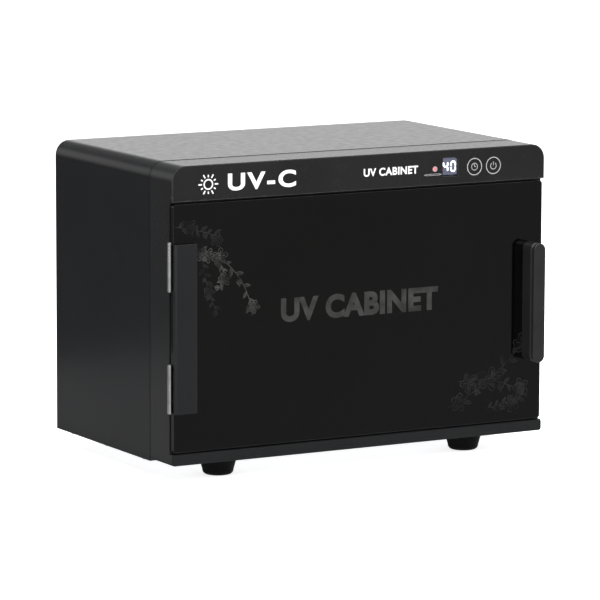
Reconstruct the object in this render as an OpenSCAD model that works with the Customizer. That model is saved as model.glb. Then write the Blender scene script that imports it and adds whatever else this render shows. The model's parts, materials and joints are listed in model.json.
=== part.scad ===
// Table-top UV sterilizer cabinet with a side-hinged glass door.
// Part modules draw in case coordinates: x from the middle, y back from the front plane,
// z up from the underside of the case. placed() moves them onto the feet.

/* [Case] */
// Width of the case
case_w = 370; // [360:1:380]
// Depth from the front plane to the back edge
case_d = 221; // [216:1:230]
// Height of the case without its feet
case_h = 257.5; // [257:0.5:262]
// Radius of the two upper long edges
corner_r = 13; // [8:1:16]
// Thickness of the steel sheets
sheet = 1; // [0.8:0.1:1.2]
// Inward width of the cover's folded edges
fold_w = 12; // [10:1:14]

/* [Front] */
// Depth of the plastic bezel
bezel_d = 41; // [36:1:46]
// Thickness of the bezel's walls
bezel_wall = 3; // [2.5:0.5:3.5]
// Depth of the recess that the door closes into
recess_d = 6; // [6:0.1:6.4]
// Underside of the bezel above the underside of the case
bezel_z0 = 1.6; // [1.5:0.1:2]
// Top of the lip below the door
lip_top = 11.4; // [11:0.1:12]
// Lower edge of the control panel
panel_z0 = 226.8; // [226.5:0.1:227]
// Thickness of the control fascia
fascia_t = 1.6; // [1.4:0.1:1.8]

/* [Door] */
// Thickness of the door glass
glass_t = 4; // [3.8:0.1:4.2]
// Left edge of the door glass
glass_x0 = -184; // [-184.1:0.1:-183.9]
// Right edge of the door glass
glass_x1 = 182.4; // [181:0.2:183]
// Lower edge of the door glass
glass_z0 = 13.2; // [12.5:0.1:14]
// Upper edge of the door glass
glass_z1 = 224.8; // [224:0.1:225.5]
// Radius of the hinge knuckles
knuckle_r = 1.9; // [1.8:0.05:1.95]
// Height of each hinge
hinge_h = 41.3; // [38:0.1:44]
// Length of the pull handle
handle_h = 106; // [96:1:116]
// Width of the pull handle
handle_w = 12; // [11:0.5:13.5]
// How far the handle's cap stands out of the front plane
handle_out = 18.7; // [18.2:0.1:19.5]

/* [Chamber] */
// Inner width of the chamber
chamber_w = 320; // [318:1:320]
// Floor of the chamber
chamber_z0 = 20; // [20:1:22]
// Ceiling of the chamber
chamber_z1 = 212; // [211:1:214]
// Back of the chamber
chamber_y1 = 185; // [184:1:188]
// Upper face of the rack rails
rail_z = 100; // [90:1:110]
// Depth of the wire rack
rack_d = 152; // [140:1:152]

/* [Feet] */
// Height of the rubber feet
foot_h = 15; // [13:0.5:16]
// Radius of a foot where it meets the base
foot_r = 16.5; // [15:0.5:18]
// Distance of the feet from the middle
foot_x = 123.5; // [110:0.5:130]

/* [Hidden] */

$fn = 64;
screw_proud = 1.8;
front_y = -(case_d + screw_proud - handle_out) / 2;
half_w = case_w / 2;
cut = 1;
gap = 0.2;
seam = 0.35;
front_inset = 0.3;
lip_r = 2.4;

// Control panel
control_z = 241;
led_x = 72.3;
display_x = 88;
display_w = 15.4;
display_h = 16.3;
time_x = 112.3;
power_x = 131.6;
key_r = 7.9;
key_hole_r = 8.3;
key_proud = 0.4;
board_y = 10.5;
board_t = 1.6;
board_x0 = 54;
board_x1 = 146;
board_z0 = 231;
board_z1 = 252;
board_inset = 4;

// Hinges
hinge_x = -186.3;
hinge_y = 2.4;
pin_r = 0.9;
pin_play = 0.05;
hinge_z = [47, 151.1];
knuckle_end = hinge_h / 4;
leaf_x1 = -167;
leaf_t = 0.7;
frame_leaf_y = 5.1;
leaf_gap = 0.4;
bridge_x = hinge_x + 0.4;
strip_x0 = -183.9;
strip_x1 = -162.9;
strip_z0 = 46.8;
strip_z1 = 191.2;
strip_t = 4.5;
strip_screw_x = -172.5;
strip_screw_dz = 10;
leaf_screw_x = -178.5;
leaf_screw_dz = 17;

// Handle, catch and interlock
handle_x = 169.3;
handle_z = 118.9;
handle_screw_dz = 36;
glass_r = 2.5;
base_out = 13.6;
neck_out = 16.8;
neck_inset = 1.6;
catch_z = 118.9;
catch_x = 171;
interlock_z = 190;
plunger_r = 1.5;

// Chamber
liner_t = 0.8;
liner_flange = 8;
gasket_w = 4;
rail_w = 8;
rail_h = 10;
rail_y0 = 20;
rail_y1 = chamber_y1 - 4;
frame_r = 2;
wire_r = 1.2;
rack_y0 = 28;
rack_w = 316;
rack_corner = 12;
wire_pitch = 14.6;
wire_n = 20;

// Lamp
lamp_y = 100;
lamp_z = 192;
lamp_half = 144;
tube_r = 7.75;
cap_l = 8;
pin_gap = 5;
lamp_pin_r = 1.2;
holder_t = 12.4;
rotor_r = 7.4;

// Rear
inlet_x = 128;
inlet_z = 44;
inlet_w = 27.2;
inlet_h = 19.8;
vent_w = 46;
vent_h = 3;

foot_y = [33, case_d - 33];
nut_af = 7;

function cover_screw_y() = [60, case_d / 2 + 20, case_d - 24];

module placed() {
    translate([0, front_y, foot_h]) children();
}

// Extrudes a front-view outline from depth y0 to depth y1
module slab(y0, y1) {
    translate([0, y1, 0]) rotate([90, 0, 0]) linear_extrude(y1 - y0) children();
}

// A block between two corners
module block(low, high) {
    translate(low) cube(high - low);
}

// A cylinder along the depth
module peg(x, z, y0, y1, r) {
    translate([x, y1, z]) rotate([90, 0, 0]) cylinder(h = y1 - y0, r = r);
}

// Case section, drawn in by inset, with rounded upper corners and its underside at z0.
// low_r rounds the lower corners too.
module case_outline(inset, z0 = 0, low_r = 0) {
    r = corner_r - inset;
    w = half_w - inset;
    top = case_h - inset;
    low = z0 + inset;
    translate([-w, low + low_r]) square([2 * w, top - r - low - low_r]);
    translate([-w + r, low]) square([2 * (w - r), top - low]);
    for (side = [-1, 1]) {
        translate([side * (w - r), top - r]) circle(r);
        if (low_r > 0) {
            translate([side * (w - low_r), low + low_r]) circle(low_r);
            translate([side * (w - (r + low_r) / 2) - (r - low_r) / 2, low]) square([r - low_r, low_r + cut]);
        }
    }
}

// Outline of the control panel, drawn in by inset
module panel_outline(inset) {
    intersection() {
        case_outline(front_inset + inset);
        translate([-half_w, panel_z0 + inset]) square([case_w, case_h]);
    }
}

// Upright bar with round ends from depth y0 to y1, its front edge rounded to edge_r
module round_bar(w, h, y0, y1, edge_r) {
    r = w / 2;
    run = h - w;
    module section() {
        translate([0, -y1]) square([r, y1 - y0 - edge_r]);
        translate([0, -y1]) square([r - edge_r, y1 - y0]);
        translate([r - edge_r, -y0 - edge_r]) circle(edge_r);
    }
    rotate([90, 0, 0]) {
        for (end = [-1, 1]) {
            translate([0, end * run / 2, 0]) rotate_extrude() intersection() {
                section();
                translate([0, -y1]) square([r, y1 - y0]);
            }
        }
        for (side = [0, 1]) mirror([side, 0, 0]) {
            translate([0, run / 2, 0]) rotate([90, 0, 0]) linear_extrude(run) section();
        }
    }
}

// Rectangle between two corners, with round corners
module rounded_outline(low, high, r) {
    translate([low.x + r, low.y]) square([high.x - low.x - 2 * r, high.y - low.y]);
    translate([low.x, low.y + r]) square([high.x - low.x, high.y - low.y - 2 * r]);
    for (x = [low.x + r, high.x - r], y = [low.y + r, high.y - r]) {
        translate([x, y]) circle(r);
    }
}

// Slot lying along x
module slot_outline(w, h) {
    translate([-w / 2 + h / 2, -h / 2]) square([w - h, h]);
    for (end = [-1, 1]) {
        translate([end * (w / 2 - h / 2), 0]) circle(h / 2);
    }
}

// Pan-head screw with its head at the origin's underside and its shank up along z
module screw(shank_l, r, head_r, head_t) {
    recess_l = head_r * 1.15;
    recess_w = head_r * 0.3;
    difference() {
        union() {
            translate([0, 0, -head_t]) cylinder(h = head_t, r = head_r);
            cylinder(h = shank_l, r = r);
        }
        for (turn = [0, 90]) rotate([0, 0, turn]) {
            translate([-recess_l / 2, -recess_w / 2, -head_t - cut]) cube([recess_l, recess_w, cut + head_t * 0.6]);
        }
    }
}

// Pan-head screw with its head towards the back and its shank towards the front
module screw_forward(x, z, seat_y, shank_l, r, head_r, head_t) {
    translate([x, seat_y, z]) rotate([90, 0, 0]) screw(shank_l, r, head_r, head_t);
}

// Pan-head screw with its shank downwards
module screw_down(x, y, seat_z, shank_l, r, head_r, head_t) {
    translate([x, y, seat_z]) rotate([180, 0, 0]) screw(shank_l, r, head_r, head_t);
}

// ---- Case ----

module outer_cover() {
    color("#2b2c2f") placed() difference() {
        slab(bezel_d + seam, case_d) case_outline(0);
        slab(bezel_d - cut, case_d - sheet) case_outline(sheet);
        slab(case_d - 2 * sheet, case_d + cut) case_outline(fold_w);
        block([-half_w + fold_w, bezel_d - cut, -cut],
              [half_w - fold_w, case_d - sheet, 2 * sheet]);
        block([-half_w + fold_w, case_d - 2 * sheet, -cut],
              [half_w - fold_w, case_d + cut, fold_w + cut]);
        for (side = [-1, 1], y = cover_screw_y()) {
            translate([side * (half_w - fold_w / 2), y, -cut]) cylinder(h = 3 * cut, r = 2.1);
        }
        rear_screw_holes(2.1);
    }
}

module rear_screw_holes(r) {
    for (side = [-1, 1], z = [30, 128, 226]) {
        peg(side * (half_w - fold_w / 2), z, case_d - 3, case_d + cut, r);
    }
    for (x = [-90, 90]) {
        peg(x, case_h - fold_w / 2, case_d - 3, case_d + cut, r);
    }
}

module base_pan() {
    joggle_x = half_w - fold_w - gap;
    color("#9a9ca0") placed() difference() {
        union() {
            block([-joggle_x, 12, 0], [joggle_x, case_d - 2.2, 1.2]);
            for (side = [-1, 1]) mirror([side < 0 ? 1 : 0, 0, 0]) {
                block([joggle_x - 1.2, bezel_d + 1, 0], [joggle_x, case_d - 2.2, 2.2]);
                block([joggle_x - 1.2, bezel_d + 1, sheet],
                      [half_w - sheet - gap, case_d - 2.2, 2.2]);
            }
        }
        for (x = [-foot_x, foot_x], y = foot_y) {
            translate([x, y, -cut]) cylinder(h = 4, r = 2.1);
        }
        for (side = [-1, 1], y = cover_screw_y()) {
            translate([side * (half_w - fold_w / 2), y, -cut]) cylinder(h = 5, r = 1.3);
        }
        for (x = [-60, 0, 60], row = [0:5]) {
            translate([x, 95 + row * 9, -cut]) linear_extrude(4) slot_outline(40, vent_h);
        }
    }
}

module rear_panel() {
    y1 = case_d - sheet;
    color("#2b2c2f") placed() difference() {
        slab(y1 - sheet, y1) case_outline(sheet + gap, 1.2);
        slab(y1 - 3, y1 + cut) translate([inlet_x - inlet_w / 2 - 0.2, inlet_z - inlet_h / 2 - 0.2])
            square([inlet_w + 0.4, inlet_h + 0.4]);
        for (side = [-1, 1]) {
            peg(inlet_x + side * 20, inlet_z, y1 - 3, y1 + cut, 1.7);
        }
        for (column = [-1, 0, 1], row = [0:6]) {
            slab(y1 - 3, y1 + cut)
                translate([column * 62, 168 + row * 9]) slot_outline(vent_w, vent_h);
        }
        for (side = [-1, 1], z = [30, 128, 226]) {
            peg(side * (half_w - fold_w / 2), z, y1 - 3, y1 + cut, 1.5);
        }
        for (x = [-90, 90]) {
            peg(x, case_h - fold_w / 2, y1 - 3, y1 + cut, 1.5);
        }
    }
}

module front_bezel() {
    color("#303135") placed() difference() {
        union() {
            difference() {
                bezel_shell();
                bezel_hollows();
            }
            board_bosses();
        }
        bezel_openings();
    }
}

module bezel_shell() {
    // the bezel and the fascia stand a little inside the cover's outline
    slab(fascia_t, bezel_d) case_outline(front_inset, bezel_z0 - front_inset, lip_r);
    slab(0.8, fascia_t + cut) lip_outline(0);
    slab(0, 0.8 + cut) lip_outline(0.6);
    // spigot that enters the cover
    slab(bezel_d - cut, bezel_d + 5) intersection() {
        case_outline(sheet + gap, bezel_z0);
        translate([-half_w, 4]) square([case_w, case_h]);
    }
}

module lip_outline(inset) {
    w = half_w - front_inset - inset;
    rounded_outline([-w, bezel_z0 + inset], [w, lip_top - inset], lip_r - inset);
}

module bezel_hollows() {
    plate_y1 = recess_d + bezel_wall;
    slab(plate_y1, bezel_d + 5 + cut) intersection() {
        case_outline(bezel_wall, bezel_z0);
        translate([-half_w, 0]) square([case_w, case_h]);
    }
    // the door recess runs out at both sides
    block([-half_w - cut, -cut, lip_top], [half_w + cut, recess_d, panel_z0]);
    // space behind the control panel
    slab(fascia_t + 2, plate_y1 + cut) intersection() {
        case_outline(bezel_wall);
        translate([-half_w, panel_z0 + bezel_wall]) square([case_w, case_h]);
    }
    // nothing above the lip stands in front of the fascia's back
    block([-half_w - cut, -cut, lip_top], [half_w + cut, fascia_t, case_h + cut]);
}

module board_bosses() {
    for (x = [board_x0 + board_inset, board_x1 - board_inset],
         z = [board_z0 + board_inset, board_z1 - board_inset]) {
        peg(x, z, fascia_t + 1, board_y, 2.6);
    }
}

module bezel_openings() {
    plate_y1 = recess_d + bezel_wall;
    block([-chamber_w / 2, recess_d - cut, chamber_z0], [chamber_w / 2, plate_y1 + cut, chamber_z1]);
    block([display_x - 8.4, 0, control_z - 8.6], [display_x + 8.4, 5, control_z + 10]);
    peg(led_x, control_z, 0, 5, 2.4);
    for (x = [time_x, power_x]) {
        peg(x, control_z, 0, 5, 9.5);
    }
    for (x = [board_x0 + board_inset, board_x1 - board_inset],
         z = [board_z0 + board_inset, board_z1 - board_inset]) {
        peg(x, z, 5, board_y + cut, 1.15);
    }
    for (hinge = hinge_z, dz = [-1, 1]) {
        peg(leaf_screw_x, hinge + hinge_h / 2 + dz * leaf_screw_dz, recess_d - cut, plate_y1 - 0.4, 1.25);
    }
    for (x = liner_screw_x(), z = liner_screw_z()) {
        peg(x, z, recess_d + 0.9, plate_y1 + cut, 1.25);
    }
    block([catch_x - 4.2, recess_d - cut, catch_z - 10.2], [catch_x + 4.2, plate_y1 + cut, catch_z + 10.2]);
    peg(catch_x, interlock_z, recess_d - cut, plate_y1 + cut, plunger_r + 0.35);
    // room for the nuts of the front feet
    for (x = [-foot_x, foot_x]) {
        translate([x, foot_y[0], 0]) cylinder(h = bezel_z0 + bezel_wall + cut, r = 6.5);
    }
}

module control_fascia() {
    color("#232427") placed() difference() {
        union() {
            slab(0.6, fascia_t) panel_outline(0);
            slab(0, 0.6 + cut / 2) panel_outline(0.5);
        }
        block([display_x - display_w / 2, -cut, control_z - display_h / 2 + 1],
              [display_x + display_w / 2, 4, control_z + display_h / 2 + 1]);
        peg(led_x, control_z, -cut, 4, 1.6);
        for (x = [time_x, power_x]) {
            peg(x, control_z, -cut, 4, key_hole_r);
        }
    }
}

// ---- Controls ----

module display_window() {
    color("#141519") placed()
        block([display_x - display_w / 2 + 0.1, 0.05, control_z - display_h / 2 + 1.1],
              [display_x + display_w / 2 - 0.1, fascia_t - 0.1, control_z + display_h / 2 + 0.9]);
}

module display_module() {
    color("#d8d8d4") placed() {
        block([display_x - 7.5, fascia_t + 0.3, control_z - 6], [display_x + 7.5, 8.6, control_z + 8]);
        for (column = [-2:2], row = [-1, 1]) {
            peg(display_x + column * 2.54, control_z + 1 + row * 5, 8.2, board_y, 0.3);
        }
    }
}

module indicator_led() {
    color("#c81418") placed() {
        peg(led_x, control_z, 0.2, 4.6, 1.5);
        peg(led_x, control_z, 4.2, 5.4, 1.9);
        for (side = [-1, 1]) {
            peg(led_x + side * 1.27, control_z, 5, board_y, 0.25);
        }
    }
}

module key_at(x) {
    color("#26272b") placed() {
        peg(x, control_z, -key_proud, 2.6, key_r);
        peg(x, control_z, 2.2, 3.4, 8.9);
        peg(x, control_z, 3, 5.3, 2);
    }
}

module time_key() {
    key_at(time_x);
}

module power_key() {
    key_at(power_x);
}

module switch_at(x) {
    color("#3c3d40") placed() {
        block([x - 3, 7, control_z - 3], [x + 3, board_y, control_z + 3]);
        peg(x, control_z, 6.1, 7.2, 1.7);
    }
}

module time_switch() {
    switch_at(time_x);
}

module power_switch() {
    switch_at(power_x);
}

module control_board() {
    color("#2f6b43") placed() difference() {
        block([board_x0, board_y, board_z0], [board_x1, board_y + board_t, board_z1]);
        for (x = [board_x0 + board_inset, board_x1 - board_inset],
             z = [board_z0 + board_inset, board_z1 - board_inset]) {
            peg(x, z, board_y - cut, board_y + 3, 1.4);
        }
    }
}

module board_screws() {
    color("silver") placed()
        for (x = [board_x0 + board_inset, board_x1 - board_inset],
             z = [board_z0 + board_inset, board_z1 - board_inset]) {
            screw_forward(x, z, board_y + board_t, 6.5, 1.1, 2.4, 1.6);
        }
}

module interlock_switch() {
    y0 = recess_d + bezel_wall;
    color("#1c1c1e") placed() difference() {
        block([catch_x - 5, y0, interlock_z - 10], [catch_x + 5, y0 + 13, interlock_z + 10]);
        peg(catch_x, interlock_z, y0 - cut, y0 + 9, plunger_r + 0.35);
    }
}

module interlock_plunger() {
    color("#d9d6cc") placed() peg(catch_x, interlock_z, glass_t + 0.1, 14, plunger_r);
}

// ---- Electrics ----

module ballast() {
    top = chamber_z1 + liner_t;
    color("#e3e2de") placed() difference() {
        union() {
            block([-55, 112, top], [55, 150, top + 26]);
            block([-67, 120, top], [67, 142, top + 1.5]);
        }
        for (x = [-61, 61]) {
            translate([x, 131, top - cut]) cylinder(h = 4, r = 1.8);
        }
    }
}

module ballast_screws() {
    top = chamber_z1 + liner_t;
    color("silver") placed() for (x = [-61, 61]) {
        screw_down(x, 131, top + 1.5, 1.5 + liner_t, 1.5, 3, 1.8);
    }
}

module power_inlet() {
    y1 = case_d - sheet;
    color("#1a1a1c") placed() difference() {
        union() {
            block([inlet_x - 24, y1 - sheet - 3, inlet_z - 11], [inlet_x + 24, y1 - sheet, inlet_z + 11]);
            block([inlet_x - inlet_w / 2, y1 - 22, inlet_z - inlet_h / 2],
                  [inlet_x + inlet_w / 2, y1 + 0.4, inlet_z + inlet_h / 2]);
            for (x = [-7, 0, 7]) {
                block([inlet_x + x - 2.4, y1 - 29, inlet_z - 0.4], [inlet_x + x + 2.4, y1 - 21, inlet_z + 0.4]);
            }
        }
        difference() {
            block([inlet_x - 12.2, y1 - 18, inlet_z - 8], [inlet_x + 12.2, y1 + 2, inlet_z + 8]);
            for (pin = [[-7, 0], [0, -4], [7, 0]]) {
                block([inlet_x + pin[0] - 1, y1 - 19, inlet_z - 3.5 + pin[1]],
                      [inlet_x + pin[0] + 1, y1 - 4, inlet_z + 0.5 + pin[1]]);
            }
        }
        for (side = [-1, 1]) {
            peg(inlet_x + side * 20, inlet_z, y1 - 6, y1 + cut, 1.3);
        }
    }
}

module inlet_screws() {
    y1 = case_d - sheet;
    color("silver") placed() for (side = [-1, 1]) {
        screw_forward(inlet_x + side * 20, inlet_z, y1, 5, 1.25, 2.8, 1.4);
    }
}

// A round bar between two points
module bar(from, to, r) {
    run = to - from;
    length = norm(run);
    translate(from) rotate([0, acos(run[2] / length), atan2(run[1], run[0])]) cylinder(h = length, r = r);
}

// A wire that runs straight from point to point
module wire(points, r) {
    $fn = 10;
    for (i = [0:len(points) - 2]) {
        bar(points[i], points[i + 1], r);
    }
    for (i = [1:len(points) - 2]) {
        translate(points[i]) sphere(r);
    }
}

module wiring_harness() {
    top = chamber_z1 + liner_t;
    back = chamber_y1 + liner_t;
    color("#c9c9c4") placed() {
        for (lane = [0, 1]) {
            wire([[inlet_x - 7 + lane * 14, case_d - 31, inlet_z + 4],
                  [inlet_x - 7 + lane * 14, case_d - 31, top + 8 + lane * 4],
                  [44 + lane * 6, case_d - 31, top + 8 + lane * 4],
                  [44 + lane * 6, 151, top + 8 + lane * 4]], 1.2);
        }
        wire([[-50, 111, top + 6], [-50, 60, top + 6], [20, 30, top + 10], [62, 14.5, top + 24]], 1.2);
        for (side = [-1, 1]) {
            wire([[side * 57, 124, top + 8], [side * 84, 124, top + 8],
                  [side * 150, lamp_y, top + 8], [side * 150, lamp_y, top + 0.5]], 1.2);
        }
        wire([[60, 70, top + 14], [120, 34, top + 14], [catch_x, 29, interlock_z + 30],
              [catch_x, 24, interlock_z]], 1.2);
    }
}

// ---- Chamber ----

function liner_screw_x() = [-chamber_w / 2 - 4.5, chamber_w / 2 + 4.5];
function liner_screw_z() = [40, 96, 206];

module inner_liner() {
    w = chamber_w / 2;
    y0 = recess_d + bezel_wall;
    color("#b9bcc0") placed() difference() {
        union() {
            block([-w - liner_t, y0, chamber_z0 - liner_t], [w + liner_t, chamber_y1 + liner_t, chamber_z1 + liner_t]);
            block([-w - liner_flange, y0, chamber_z0 - liner_flange + 1],
                  [w + liner_flange, y0 + liner_t, chamber_z1 + liner_flange]);
        }
        block([-w, y0 - cut, chamber_z0], [w, chamber_y1, chamber_z1]);
        for (x = liner_screw_x(), z = liner_screw_z()) {
            peg(x, z, y0 - cut, y0 + 2, 1.6);
        }
        block([catch_x - 6, y0 - cut, catch_z - 14], [catch_x + 6, y0 + 2, catch_z + 14]);
        block([catch_x - 6, y0 - cut, interlock_z - 11], [catch_x + 6, y0 + 2, interlock_z + 11]);
        for (side = [-1, 1], y = rivet_y()) {
            translate([side * (w + 0.4), y, rail_z - rail_h / 2]) rotate([0, 90, 0])
                cylinder(h = 3, r = 1.65, center = true);
        }
        for (x = [-61, 61]) {
            translate([x, 131, chamber_z1 - cut]) cylinder(h = 4, r = 1.6);
        }
        for (side = [-1, 1]) {
            translate([side * 150, lamp_y, chamber_z1 - cut]) cylinder(h = 4, r = 2);
        }
    }
}

module liner_screws() {
    y0 = recess_d + bezel_wall + liner_t;
    color("silver") placed() for (x = liner_screw_x(), z = liner_screw_z()) {
        screw_forward(x, z, y0, 2.6, 1.2, 2.4, 1.4);
    }
}

function rivet_y() = [rail_y0 + 15, rail_y1 - 15];

module rail(side) {
    w = chamber_w / 2;
    color("#a9acb0") placed() mirror([side < 0 ? 1 : 0, 0, 0]) difference() {
        union() {
            block([w - 1, rail_y0, rail_z - rail_h], [w, rail_y1, rail_z]);
            block([w - rail_w, rail_y0, rail_z - 1], [w, rail_y1, rail_z]);
        }
        for (y = rivet_y()) {
            translate([w - 0.5, y, rail_z - rail_h / 2]) rotate([0, 90, 0])
                cylinder(h = 3, r = 1.65, center = true);
        }
    }
}

module left_rail() {
    rail(-1);
}

module right_rail() {
    rail(1);
}

module rail_rivets() {
    w = chamber_w / 2;
    color("silver") placed() for (side = [0, 1], y = rivet_y()) mirror([side, 0, 0]) {
        translate([w - 2, y, rail_z - rail_h / 2]) rotate([0, 90, 0]) cylinder(h = 1, r = 3);
        translate([w - 1.5, y, rail_z - rail_h / 2]) rotate([0, 90, 0]) cylinder(h = 3.3, r = 1.6);
        translate([w + liner_t, y, rail_z - rail_h / 2]) rotate([0, 90, 0]) cylinder(h = 1, r = 2.6);
    }
}

module wire_rack() {
    x1 = rack_w / 2 - frame_r;
    y0 = rack_y0 + frame_r;
    y1 = rack_y0 + rack_d - frame_r;
    z = rail_z + frame_r + 0.1;
    c = rack_corner;
    top = z + frame_r + wire_r - 0.5;
    color("#c4c6c9") placed() {
        for (y = [y0, y1]) {
            bar([-x1 + c, y, z], [x1 - c, y, z], frame_r);
        }
        for (x = [-x1, x1]) {
            bar([x, y0 + c, z], [x, y1 - c, z], frame_r);
        }
        for (corner = [[-1, y0 + c, 180], [1, y0 + c, 270], [1, y1 - c, 0], [-1, y1 - c, 90]]) {
            translate([corner[0] * (x1 - c), corner[1], z]) rotate([0, 0, corner[2]])
                rotate_extrude(angle = 90) translate([c, 0]) circle(frame_r);
        }
        bar([-x1, (y0 + y1) / 2, z], [x1, (y0 + y1) / 2, z], frame_r * 0.8);
        for (i = [0:wire_n]) {
            x = (i - wire_n / 2) * wire_pitch;
            bar([x, y0 - 1, top], [x, y1 + 1, top], wire_r);
        }
    }
}

// ---- Lamp ----

module lamp_reflector() {
    color("#d5d8dc") placed() translate([-140, lamp_y, chamber_z1]) rotate([90, 0, 90])
        linear_extrude(280) {
            translate([-12, -0.8]) square([24, 0.8]);
            for (side = [0, 1]) mirror([side, 0]) {
                polygon([[11.6, 0], [12, -0.8], [33.4, -14.6], [34, -14]]);
            }
        }
}

module holder(side) {
    x0 = lamp_half + 0.6;
    color("#f0efe9") placed() mirror([side < 0 ? 1 : 0, 0, 0]) difference() {
        union() {
            block([x0, lamp_y - 9.5, lamp_z], [x0 + holder_t, lamp_y + 9.5, chamber_z1]);
            translate([x0, lamp_y, lamp_z]) rotate([0, 90, 0]) cylinder(h = holder_t, r = 11);
        }
        translate([x0 - cut, lamp_y, lamp_z]) rotate([0, 90, 0]) cylinder(h = 9.5, r = rotor_r + 0.35);
        block([x0 - cut, lamp_y - 1.7, lamp_z - 14], [x0 + 8.5, lamp_y + 1.7, lamp_z]);
    }
}

module left_lampholder() {
    holder(-1);
}

module right_lampholder() {
    holder(1);
}

module rotor(side) {
    x0 = lamp_half + 0.8;
    color("#e6e4dc") placed() mirror([side < 0 ? 1 : 0, 0, 0]) difference() {
        translate([x0, lamp_y, lamp_z]) rotate([0, 90, 0]) cylinder(h = 7.9, r = rotor_r);
        lamp_pin_pair(lamp_pin_r + 0.05, cut);
    }
}

module left_rotor() {
    rotor(-1);
}

module right_rotor() {
    rotor(1);
}

module lamp_pin_pair(r, more = 0) {
    for (dz = [-pin_gap / 2, pin_gap / 2]) {
        translate([lamp_half - more, lamp_y, lamp_z + dz]) rotate([0, 90, 0])
            cylinder(h = 7.4 + 2 * more, r = r);
    }
}

module lamp_pins() {
    color("#c9a94f") placed() for (side = [0, 1]) mirror([side, 0, 0]) {
        lamp_pin_pair(lamp_pin_r);
    }
}

module uv_tube() {
    half = lamp_half - 2;
    color("#dfe6f2") placed() translate([-half, lamp_y, lamp_z]) rotate([0, 90, 0]) difference() {
        cylinder(h = 2 * half, r = tube_r);
        translate([0, 0, cut]) cylinder(h = 2 * (half - cut), r = tube_r - 0.8);
    }
}

module lamp_cap(side) {
    color("#c3c6ca") placed() mirror([side < 0 ? 1 : 0, 0, 0]) difference() {
        translate([lamp_half - cap_l, lamp_y, lamp_z]) rotate([0, 90, 0]) cylinder(h = cap_l, r = tube_r + 0.3);
        translate([lamp_half - cap_l - cut, lamp_y, lamp_z]) rotate([0, 90, 0])
            cylinder(h = cap_l - 2 + cut, r = tube_r + 0.05);
    }
}

module left_lamp_cap() {
    lamp_cap(-1);
}

module right_lamp_cap() {
    lamp_cap(1);
}

// ---- Door ----

module door_glass() {
    color("#17181b") placed() difference() {
        slab(0, glass_t) rounded_outline([glass_x0, glass_z0], [glass_x1, glass_z1], glass_r);
        for (hinge = hinge_z, dz = [-1, 1]) {
            peg(strip_screw_x, hinge + hinge_h / 2 + dz * strip_screw_dz, -cut, glass_t + cut, 2.2);
        }
        for (dz = [-1, 1]) {
            peg(handle_x, handle_z + dz * handle_screw_dz, -cut, glass_t + cut, 2.2);
        }
    }
}

module hinge_strip() {
    chamfer = 1.1;
    color("#2a2b2e") placed() difference() {
        translate([0, 0, strip_z0]) linear_extrude(strip_z1 - strip_z0) polygon([
            [strip_x0, 0], [strip_x0, -strip_t + chamfer], [strip_x0 + chamfer, -strip_t],
            [strip_x1 - chamfer, -strip_t], [strip_x1, -strip_t + chamfer], [strip_x1, 0]]);
        for (hinge = hinge_z, dz = [-1, 1]) {
            peg(strip_screw_x, hinge + hinge_h / 2 + dz * strip_screw_dz, -strip_t + 1, cut, 1.55);
        }
    }
}

module strip_screws() {
    color("silver") placed() for (hinge = hinge_z, dz = [-1, 1]) {
        screw_forward(strip_screw_x, hinge + hinge_h / 2 + dz * strip_screw_dz, glass_t + leaf_t,
                      7.6, 1.5, 3, 1.05);
    }
}

// Knuckle stretches between two heights, bored for the pin
module knuckles(z0, z1, bore_r) {
    difference() {
        union() {
            translate([hinge_x, hinge_y, z0]) cylinder(h = z1 - z0, r = knuckle_r);
            children();
        }
        translate([hinge_x, hinge_y, z0 - cut]) cylinder(h = z1 - z0 + 2 * cut, r = bore_r);
    }
}

// Countersunk screw hole or head, widest at the front of the frame leaf
module countersink(x, z, head_r, shank_r) {
    depth = recess_d - frame_leaf_y;
    translate([x, frame_leaf_y, z]) rotate([-90, 0, 0]) cylinder(h = depth, r1 = head_r, r2 = shank_r);
}

module frame_leaf(z0) {
    arm_h = knuckle_end - 0.15;
    color("#b4b6b9") placed() {
        difference() {
            block([glass_x0 - leaf_gap, frame_leaf_y, z0], [leaf_x1, recess_d, z0 + hinge_h]);
            for (dz = [-1, 1]) {
                countersink(leaf_screw_x, z0 + hinge_h / 2 + dz * leaf_screw_dz, 2.5, 1.4);
                peg(strip_screw_x, z0 + hinge_h / 2 + dz * strip_screw_dz, 0, 10, 3.5);
            }
        }
        for (end = [z0, z0 + hinge_h - arm_h]) {
            knuckles(end, end + arm_h, pin_r) {
                block([bridge_x, hinge_y + 0.9, end], [glass_x0 - leaf_gap, recess_d, end + arm_h]);
                block([bridge_x, frame_leaf_y, end], [glass_x0, recess_d, end + arm_h]);
            }
        }
    }
}

module upper_frame_leaf() {
    frame_leaf(hinge_z[1]);
}

module lower_frame_leaf() {
    frame_leaf(hinge_z[0]);
}

module door_leaf(z0) {
    low = z0 + knuckle_end + 0.15;
    high = z0 + hinge_h - knuckle_end - 0.15;
    arm_y = hinge_y + pin_r + 0.3;
    color("#b4b6b9") placed() {
        difference() {
            block([glass_x0 + leaf_gap, glass_t, z0], [leaf_x1, glass_t + leaf_t, z0 + hinge_h]);
            for (dz = [-1, 1]) {
                peg(strip_screw_x, z0 + hinge_h / 2 + dz * strip_screw_dz, 0, 10, 1.7);
            }
        }
        knuckles(low, high, pin_r + pin_play) {
            block([bridge_x, arm_y, low], [glass_x0 - leaf_gap, glass_t + leaf_t, high]);
            block([bridge_x, glass_t, low], [glass_x0 + leaf_gap + cut, glass_t + leaf_t, high]);
        }
    }
}

module upper_door_leaf() {
    door_leaf(hinge_z[1]);
}

module lower_door_leaf() {
    door_leaf(hinge_z[0]);
}

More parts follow.
